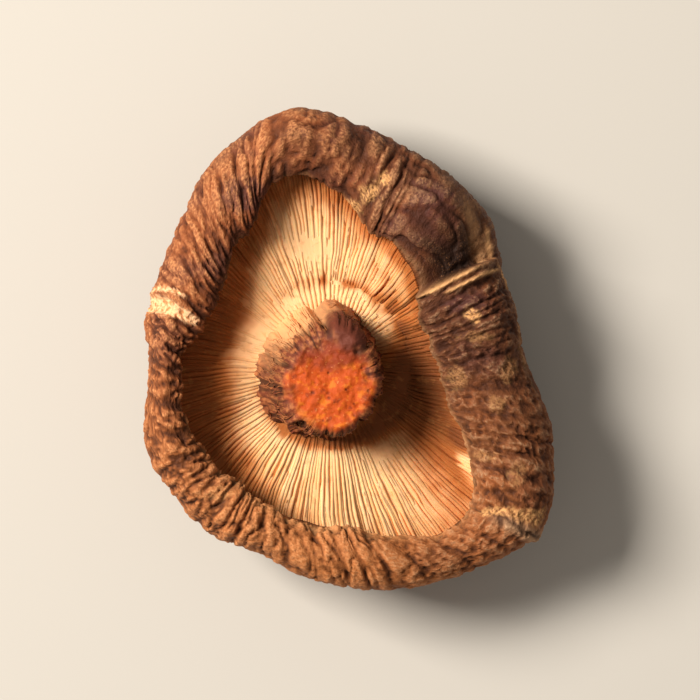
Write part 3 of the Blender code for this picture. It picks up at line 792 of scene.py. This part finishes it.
gill_flesh, tree, surface, where, read = started_material("dried gill flesh", guide_values)
stains, flecks = (
    add(tree, "ShaderNodeTexNoise", {"Vector": where, "Scale": 1.0 / (size * MM), "Detail": 3.0})
    for size in (GILL_STAIN_SIZE, GILL_FLECK_SIZE)
)
stained = add(tree, "ShaderNodeMath", {0: stains, 1: 0.7, 2: -0.35}, operation="MULTIPLY_ADD")
stained = add(tree, "ShaderNodeMath", {0: stained, 1: read["brown"]}, operation="ADD")
stained, painted_umber_shade, flecked = (
    add(
        tree, "ShaderNodeMapRange", {0: value, 1: low, 2: high, 4: most},
        interpolation_type="SMOOTHSTEP",
    )
    for value, low, high, most in (
        (stained, 0.12, 0.95, 1.0), (stained, 0.6, 1.6, 0.8), (flecks, 0.55, 0.72, 0.35),
    )
)
colour = linear(GILL_CREAM)
for amount, over in (
    (read["tint"], GILL_TAN), (stained, GILL_BROWN), (painted_umber_shade, GILL_UMBER), (flecked, GILL_FLECK),
):
    colour = add(tree, "ShaderNodeMix", {0: amount, 6: colour, 7: linear(over)}, data_type="RGBA")
bumps = add(tree, "ShaderNodeBump", {"Strength": 0.5, "Distance": 0.1 * MM, "Height": flecks})
fill(tree, surface, {
    "Base Color": colour, "Normal": bumps, "Roughness": 0.75, "Specular IOR Level": 0.2,
    "Subsurface Weight": 0.25, "Subsurface Radius": (1.0, 0.5, 0.25), "Subsurface Scale": 0.6 * MM,
})


def started_tree(name, sizes):
    """A node tree with named inputs, those inputs' sockets, and their values by identifier."""
    tree = bpy.data.node_groups.new(name, "GeometryNodeTree")
    tree.interface.new_socket("Geometry", in_out="INPUT", socket_type="NodeSocketGeometry")
    values = {}
    for label, kind, value in sizes:
        socket = tree.interface.new_socket(label, in_out="INPUT", socket_type=kind)
        values[socket.identifier] = value
    tree.interface.new_socket("Geometry", in_out="OUTPUT", socket_type="NodeSocketGeometry")
    return tree, add(tree, "NodeGroupInput").outputs, values


def grown(piece, tree, values):
    """The piece's mesh as the node tree makes it, with the modifier taken off again."""
    modifier = piece.modifiers.new(tree.name, "NODES")
    modifier.node_group = tree
    for identifier, value in values.items():
        modifier[identifier] = value
    evaluated = piece.evaluated_get(bpy.context.evaluated_depsgraph_get())
    mesh = bpy.data.meshes.new_from_object(evaluated)
    piece.modifiers.clear()
    piece.data = mesh
    mesh.name = piece.name
    mesh.shade_smooth()


def swept(tree, given, curve, profile, scale, sways):
    """Closes the tree: the profile along the curve, moved by noise, made real and given its flesh."""
    swept_mesh = add(
        tree, "GeometryNodeCurveToMesh",
        {"Curve": curve, "Profile Curve": profile, "Scale": scale, "Fill Caps": True},
    )
    place = add(tree, "GeometryNodeInputPosition")
    for density, size in sways:
        sway = add(
            tree, "ShaderNodeTexNoise",
            {"Vector": place, "Scale": given[density], "W": given["Seed"], "Detail": 1.0},
            noise_dimensions="4D",
        )
        sway = add(
            tree, "ShaderNodeVectorMath", {0: sway.outputs["Color"], 1: (0.5, 0.5, 0.5)},
            operation="SUBTRACT",
        )
        sway = add(tree, "ShaderNodeVectorMath", {0: sway, "Scale": given[size]}, operation="SCALE")
        swept_mesh = add(tree, "GeometryNodeSetPosition", {"Geometry": swept_mesh, "Offset": sway})
    real = add(tree, "GeometryNodeRealizeInstances", {0: swept_mesh})
    dressed = add(tree, "GeometryNodeSetMaterial", {"Geometry": real, "Material": given["Flesh"]})
    add(tree, "NodeGroupOutput", {0: dressed})


tree, given, sizes = started_tree("gill blades", (
    ("Edge thickness", "NodeSocketFloat", GILL_EDGE_THICKNESS * MM),
    ("Root thickness", "NodeSocketFloat", GILL_ROOT_THICKNESS * MM),
    ("Blade depth", "NodeSocketFloat", GILL_DEPTH * MM),
    ("Wave size", "NodeSocketFloat", 0.5 * MM),
    ("Wave density", "NodeSocketFloat", 330.0),
    ("Wear size", "NodeSocketFloat", 0.08 * MM),
    ("Wear density", "NodeSocketFloat", 1500.0),
    ("Seed", "NodeSocketFloat", 4.0),
    ("Flesh", "NodeSocketMaterial", gill_flesh),
))
profile = add(
    tree, "GeometryNodeCurvePrimitiveQuadrilateral",
    {"Height": given["Blade depth"], "Bottom Width": given["Root thickness"],
     "Top Width": given["Edge thickness"], "Offset": 0.0}, mode="TRAPEZOID",
)
curve = add(tree, "GeometryNodeMeshToCurve", {"Mesh": given["Geometry"]})
curve = add(tree, "GeometryNodeSetCurveNormal", {"Curve": curve}, mode="Z_UP")
swept(
    tree, given, curve, profile, 1.0, (("Wave density", "Wave size"), ("Wear density", "Wear size")),
)
grown(gills, tree, sizes)
bed.data.materials.append(gill_flesh)
for piece in (bed, gills):
    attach(piece, "root")
    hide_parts("dried_shiitake")

# The stem. It is a short stub of tough, stringy flesh, brown down its sides, and was cut across with
# a knife. The cut end dried to a granular orange, and thin strands lie loose down its sides.
STEM_OUTLINE = (
    (0, 6.2), (28, 6.1), (55, 6.8), (78, 7.3), (98, 6.7), (120, 6.2), (150, 5.9),
    (175, 6.1), (200, 6.3), (225, 6.5), (250, 6.3), (275, 6.6), (305, 6.4), (335, 6.0),
)
STEM_FOOT = Vector((-1.3, -0.3))
STEM_LEAN = Vector((1.1, -0.9))
STEM_ROOT_HEIGHT = 5.6
STEM_TOP_HEIGHT = 19.6
STEM_CUT_SLOPE = Vector((0.07, -0.05))
STEM_STRANDS = 13
STEM_GROOVE_DEPTH = 0.55
STEM_GROOVE_WAVES = ((0.3, 2, 70), (0.3, 5, 20))
STEM_GROOVES_FADE, STEM_GROOVE_FADE_SHARE = (0.88, 1.0), 0.75
STEM_SPREAD_WAVES = ((0.35, 3, 100), (0.2, 5, 10))
# Each ring of the stem as (share of its height from the root to the cut, share of its outline).
STEM_RINGS = (
    (0.0, 1.12), (0.26, 1.15), (0.36, 1.03), (0.48, 0.97), (0.62, 0.94),
    (0.76, 0.92), (0.86, 0.90), (0.93, 0.86), (0.975, 0.79), (1.0, 0.70),
)
STEM_COLUMNS_A_STRAND, STEM_ROWS, CUT_ROWS = 26, 80, 42

# The sides are stringy, less so by the cut and on the smooth cream patch at the upper left, which is partly
# painted highlight. Painted shade darkens the grooves, the gaps between the strings and the lower side.
# Pairs are shares of the stem's height, or of a distance, over which something comes in.
STRINGS, FIBRES = (7.5, 2.2), (21.0, 3.5)
STRING_HEIGHT, FIBRE_HEIGHT, STRING_MEAN = 0.55, 0.3, 0.25
SMOOTHED_BY, STRINGS_FADE = 0.6, (0.93, 1.0)
CREAM_AT, CREAM_SHARPNESS, CREAM_FADES, SMOOTH_UNTIL = 120.0, 9, (0.72, 0.98), (0.6, 0.9)
SHADED_AT, SHADE_FADES, SIDE_SHADE, GROOVE_SHADE, STRING_SHADE = 285.0, (0.8, 1.0), 0.8, 0.6, 1.5

# The cut end is uneven and pitted, with an orange core and a dark lump on the side of the narrow end.
CUT_COMES_IN = (0.94, 1.0)
CUT_CORE, CUT_CORE_HALF_WIDTH, CUT_CORE_HALF_HEIGHT = Vector((-2.4, -3.6)), 4.8, 5.2
CUT_RELIEF = ((2.4, 0.32), (1.6, 0.26), (0.75, 0.16), (0.42, 0.07))
CUT_RAGGED = ((1.5, 0.26), (0.55, 0.14))
CORE_RAGGED, CORE_FADES = 1.3, (0.64, 1.16)
DARK_LUMP, DARK_LUMP_RADIUS, DARK_LUMP_HEIGHT = Vector((-0.2, 2.6)), 2.6, 0.5
LUMP_FADES, LUMP_COMES_IN = (0.6, 1.15), (0.5, 0.75)
PORE_SPACING, PORE_DEPTH, PORE_CORE, PORE_RADIUS = 1.1, 0.12, 0.02, 0.18
PORES_WIDEN = (1.6, 0.35)
REDDER_FROM, REDDER_RAGGED = (-3.2, 0.8), 3.0


def stem_point(place, height_share, cut_share=1.0):
    """A point of the stem. cut_share runs from 1 at the edge of the cut to 0 at its middle."""
    direction = spread_direction(place, STEM_STRANDS, STEM_SPREAD_WAVES)
    groove = STEM_GROOVE_DEPTH * (1.0 + waves_at(STEM_GROOVE_WAVES, direction)) * groove_share(place)
    groove *= 1.0 - STEM_GROOVE_FADE_SHARE * ease(height_share, *STEM_GROOVES_FADE)
    string = abs(round_noise(direction, height_share, STRINGS))
    fibre = abs(round_noise(direction, height_share, FIBRES))
    cream = facing(direction, CREAM_AT, CREAM_SHARPNESS)
    stringy = STRING_HEIGHT * (string - STRING_MEAN) + FIBRE_HEIGHT * (fibre - STRING_MEAN)
    stringy *= 1.0 - SMOOTHED_BY * ease(height_share, *STRINGS_FADE)
    stringy *= 1.0 - SMOOTHED_BY * cream * fade(height_share, *SMOOTH_UNTIL)
    radius = radius_at(STEM_OUTLINE, direction) * float(np.interp(height_share, *zip(*STEM_RINGS)))
    level = ray(direction) * (radius + (stringy - groove) * cut_share**4) * cut_share
    top = STEM_TOP_HEIGHT + level.dot(STEM_CUT_SLOPE)
    height = blend(STEM_ROOT_HEIGHT, top, height_share)
    point = Vector((*(GILL_CENTRE + STEM_FOOT + STEM_LEAN * height_share + level), height))

    on_cut = ease(height_share, *CUT_COMES_IN)
    pore_edge = PORE_RADIUS + max(0.0, uneven(point, PORES_WIDEN))
    pore = fade(noise.voronoi(point / PORE_SPACING)[0][0], PORE_CORE, pore_edge)
    relief = uneven(point, *CUT_RELIEF)
    ragged = uneven(point, *CUT_RAGGED)
    from_core = point.xy - CUT_CORE
    from_core = math.hypot(from_core.x / CUT_CORE_HALF_WIDTH, from_core.y / CUT_CORE_HALF_HEIGHT)
    from_lump = (point.xy - DARK_LUMP).length / DARK_LUMP_RADIUS
    dark = fade(from_lump + ragged, *LUMP_FADES) * ease(height_share, *LUMP_COMES_IN)
    # Painted shade in the grooves, between the strings and on the lower side.
    painted_shade = GROOVE_SHADE * groove_share(place) + STRING_SHADE * max(0.0, 0.3 - string) + (0.2 - fibre)
    painted_shade += SIDE_SHADE * facing(direction, SHADED_AT, 3) * fade(height_share, *SHADE_FADES)
    values = {
        "cut": on_cut * fade(from_core + CORE_RAGGED * ragged, *CORE_FADES),
        "painted_shade": min(1.0, painted_shade),
        "pore": pore,
        "upper": ease(point.y + REDDER_RAGGED * ragged, *REDDER_FROM),
        "cream": cream * fade(height_share + 0.2 * string, *CREAM_FADES),
        "dark": dark,
    }
    point.z += on_cut * (relief - PORE_DEPTH * pore + DARK_LUMP_HEIGHT * dark)
    return point, values


stem_places = [i / STEM_COLUMNS_A_STRAND for i in range(STEM_STRANDS * STEM_COLUMNS_A_STRAND)]
stem_steps = [(row / (STEM_ROWS - 1), 1.0) for row in range(STEM_ROWS)]
stem_steps += [(1.0, 1.0 - (row + 1) / (CUT_ROWS + 1)) for row in range(CUT_ROWS)]
stem_rings = [[stem_point(place, *step) for place in stem_places] for step in stem_steps]
stem = shaped_piece("stem", stem_rings)

# Strands of the same flesh lie loose down the sides. Each starts as a line of points on the stem's
# side, thickest in its middle.
# Each strand is also darker by a random amount, carried with the painted shade.
STRANDS, STRAND_POINTS, STRAND_RADIUS = 260, 9, 0.085
STRAND_STARTS, STRAND_LENGTHS, STRAND_TOP = (0.30, 0.72), (0.12, 0.5), 0.97
STRAND_SWAY, STRAND_LIFTS, STRAND_PROUD, STRAND_SHADE = 0.08, (0.0, 0.10), 0.02, 0.3
STRAND_THIN_SHARE = 0.35

rng = np.random.default_rng(5)
guide_points, guide_edges = [], []
guide_values = {key: [] for key in ("cut", "painted_shade", "cream", "dark", "thick")}
for s in range(STRANDS):
    place = rng.uniform(0.0, STEM_STRANDS)
    low = rng.uniform(*STRAND_STARTS)
    high = min(STRAND_TOP, low + rng.uniform(*STRAND_LENGTHS))
    sway = rng.normal(0.0, STRAND_SWAY)
    lift = rng.uniform(*STRAND_LIFTS)
    shade = STRAND_SHADE * rng.uniform()
    for i in range(STRAND_POINTS):
        t = i / (STRAND_POINTS - 1)
        height_share = blend(low, high, t)
        point, values = stem_point(place + sway * math.sin(3.0 * t + s), height_share)
        outward = (point.xy - GILL_CENTRE - STEM_FOOT - STEM_LEAN * height_share).normalized()
        point += Vector((*(outward * (lift * math.sin(math.pi * t) + STRAND_PROUD)), 0.0))
        full = math.sin(math.pi * (0.08 + 0.84 * t))
        thick = STRAND_RADIUS * blend(STRAND_THIN_SHARE, 1.0, full)
        guide_points.append(point)
        values |= {"cut": 0.0, "painted_shade": shade, "thick": thick}
        for key, held in guide_values.items():
            held.append(values[key])
        if i:
            guide_edges.append((len(guide_points) - 2, len(guide_points) - 1))
strands = made_piece("stem_strands", guide_points, guide_edges, [], guide_values)

# Dried stem flesh: stringy and matte. Its sides are brown, and the cut end is orange and granular.
STEM_BROWN, STEM_TAN, STEM_CREAM = "#6E3420", "#A8653A", "#F2B67C"
STEM_PURPLE, STEM_DARK = "#642E1E", "#34160A"
CUT_ORANGE, CUT_RED, CUT_GOLD = "#B4460A", "#84300F", "#DC781A"
CUT_PALE, CUT_DARK = "#EE9E5A", "#4A1A0A"
STRING_SIZE, BLOTCH_SIZE, GRIT_SIZE, SPOT_SIZE = 0.43, 2.4, 0.31, 0.9

stem_flesh, tree, surface, where, read = started_material("dried stem flesh", stem_rings[0][0][1])
stretched = add(tree, "ShaderNodeMapping", {"Vector": where, "Scale": (1.0, 1.0, 0.12)})
strings, blotches, grit, spots = (
    add(tree, "ShaderNodeTexNoise", {"Vector": place, "Scale": 1.0 / (size * MM), "Detail": 4.0})
    for place, size in (
        (stretched, STRING_SIZE), (where, BLOTCH_SIZE), (where, GRIT_SIZE), (where, SPOT_SIZE),
    )
)
reddened = add(tree, "ShaderNodeMath", {0: blotches, 1: 1.6, 2: read["upper"]}, operation="MULTIPLY_ADD")
share = {
    name: add(
        tree, "ShaderNodeMapRange", {0: value, 1: low, 2: high, 3: at_low, 4: at_high},
        interpolation_type="SMOOTHSTEP",
    )
    for name, value, low, high, at_low, at_high in (
        ("string", strings, 0.38, 0.66, 0.0, 1.0),
        ("painted_shade", read["painted_shade"], 0.15, 0.75, 0.0, 0.85),
        ("red", reddened, 0.75, 1.75, 0.0, 1.0),
        ("gold", spots, 0.50, 0.66, 0.0, 0.6),
        ("rusty", spots, 0.30, 0.42, 0.75, 0.0),
        ("pale", grit, 0.60, 0.74, 0.0, 0.35),
    )
}
pitted = add(tree, "ShaderNodeMath", {0: read["pore"], 1: 0.75}, operation="MULTIPLY")
creamy = add(tree, "ShaderNodeMath", {0: read["cream"], 1: 0.85}, operation="MULTIPLY")
end = linear(CUT_ORANGE)
for amount, over in (
    (share["gold"], CUT_GOLD), (share["red"], CUT_RED), (share["rusty"], CUT_RED),
    (share["pale"], CUT_PALE), (pitted, CUT_DARK),
):
    end = add(tree, "ShaderNodeMix", {0: amount, 6: end, 7: linear(over)}, data_type="RGBA")
colour = linear(STEM_BROWN)
for amount, over in (
    (share["string"], linear(STEM_TAN)), (share["painted_shade"], linear(STEM_DARK)),
    (creamy, linear(STEM_CREAM)), (read["cut"], end), (read["dark"], linear(STEM_PURPLE)),
):
    colour = add(tree, "ShaderNodeMix", {0: amount, 6: colour, 7: over}, data_type="RGBA")
height = add(tree, "ShaderNodeMath", {0: grit, 1: 0.5, 2: spots}, operation="MULTIPLY_ADD")
height = add(tree, "ShaderNodeMath", {0: strings, 1: height}, operation="ADD")
bumps = add(tree, "ShaderNodeBump", {"Strength": 0.6, "Distance": 0.15 * MM, "Height": height})
fill(tree, surface, {
    "Base Color": colour, "Normal": bumps, "Roughness": 0.7, "Specular IOR Level": 0.25,
})
stem.data.materials.append(stem_flesh)

tree, given, sizes = started_tree("stem strands", (
    ("Unit", "NodeSocketFloat", MM),
    ("Sides", "NodeSocketInt", 4),
    ("Kink size", "NodeSocketFloat", 0.12 * MM),
    ("Kink density", "NodeSocketFloat", 900.0),
    ("Seed", "NodeSocketFloat", 2.0),
    ("Flesh", "NodeSocketMaterial", stem_flesh),
))
thick = add(tree, "GeometryNodeInputNamedAttribute", {"Name": "thick"}, data_type="FLOAT")
curve = add(tree, "GeometryNodeMeshToCurve", {"Mesh": given["Geometry"]})
profile = add(
    tree, "GeometryNodeCurvePrimitiveCircle", {"Resolution": given["Sides"], "Radius": given["Unit"]},
)
swept(tree, given, curve, profile, thick, (("Kink density", "Kink size"),))
grown(strands, tree, sizes)
for piece in (stem, strands):
    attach(piece, "root")
    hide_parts("dried_shiitake")

# The floor is a plain sheet of pale board, far wider than the picture. It is matte, so that only the
# mushroom's soft shadow shows on it, and it isn't part of the mushroom.
FLOOR_WIDTH, FLOOR_PALE = 3.0, "#C4BEB5"

bpy.ops.mesh.primitive_plane_add(size=FLOOR_WIDTH)
floor = bpy.context.object
floor.name = "floor"
board = bpy.data.materials.new("pale matte board")
board.use_nodes = True
tree = board.node_tree
fill(tree, tree.nodes["Principled BSDF"], {"Base Color": linear(FLOOR_PALE), "Roughness": 0.9})
floor.data.materials.append(board)

# The light is one large, warm, soft lamp to the left and a little towards the top of the picture,
# and a pale fill from all round.
KEY_TOWARDS, KEY_DISTANCE, KEY_SIZE, KEY_POWER = Vector((-0.66, 0.28, 0.70)), 0.7, 0.24, 9.0
KEY_COLOUR, FILL_COLOUR, FILL_STRENGTH = (1.0, 0.95, 0.88), (1.0, 0.94, 0.86, 1.0), 0.28

key = bpy.data.objects.new("key light", bpy.data.lights.new("key light", "AREA"))
key.data.energy = KEY_POWER
key.data.size = KEY_SIZE
key.data.color = KEY_COLOUR
key.location = KEY_TOWARDS.normalized() * KEY_DISTANCE
key.rotation_euler = KEY_TOWARDS.to_track_quat("Z", "Y").to_euler()
bpy.context.scene.collection.objects.link(key)
world = bpy.data.worlds.new("pale room")
world.use_nodes = True
tree = world.node_tree
fill(tree, tree.nodes["Background"], {"Color": FILL_COLOUR, "Strength": FILL_STRENGTH})
bpy.context.scene.world = world

# The camera looks almost straight down from a long way off through a long lens, and the mushroom fills most
# of its picture.
CAMERA_AIM, CAMERA_AWAY, CAMERA_DISTANCE = Vector((0.0, 0.0, 12.0)), Vector((-0.058, 0.036, 1.0)), 0.6
LENS, SENSOR_WIDTH = 300.0, 36.0

camera = bpy.data.objects.new("camera", bpy.data.cameras.new("camera"))
bpy.context.scene.collection.objects.link(camera)
away = CAMERA_AWAY.normalized()
right = Vector((0.0, 1.0, 0.0)).cross(away).normalized()
turned = Matrix((right, away.cross(right), away)).transposed()
camera.matrix_world = Matrix.Translation(CAMERA_AIM * MM + away * CAMERA_DISTANCE) @ turned.to_4x4()
camera.data.lens = LENS
camera.data.sensor_width = SENSOR_WIDTH
bpy.context.scene.camera = camera
bpy.context.scene.view_settings.view_transform = "Standard"
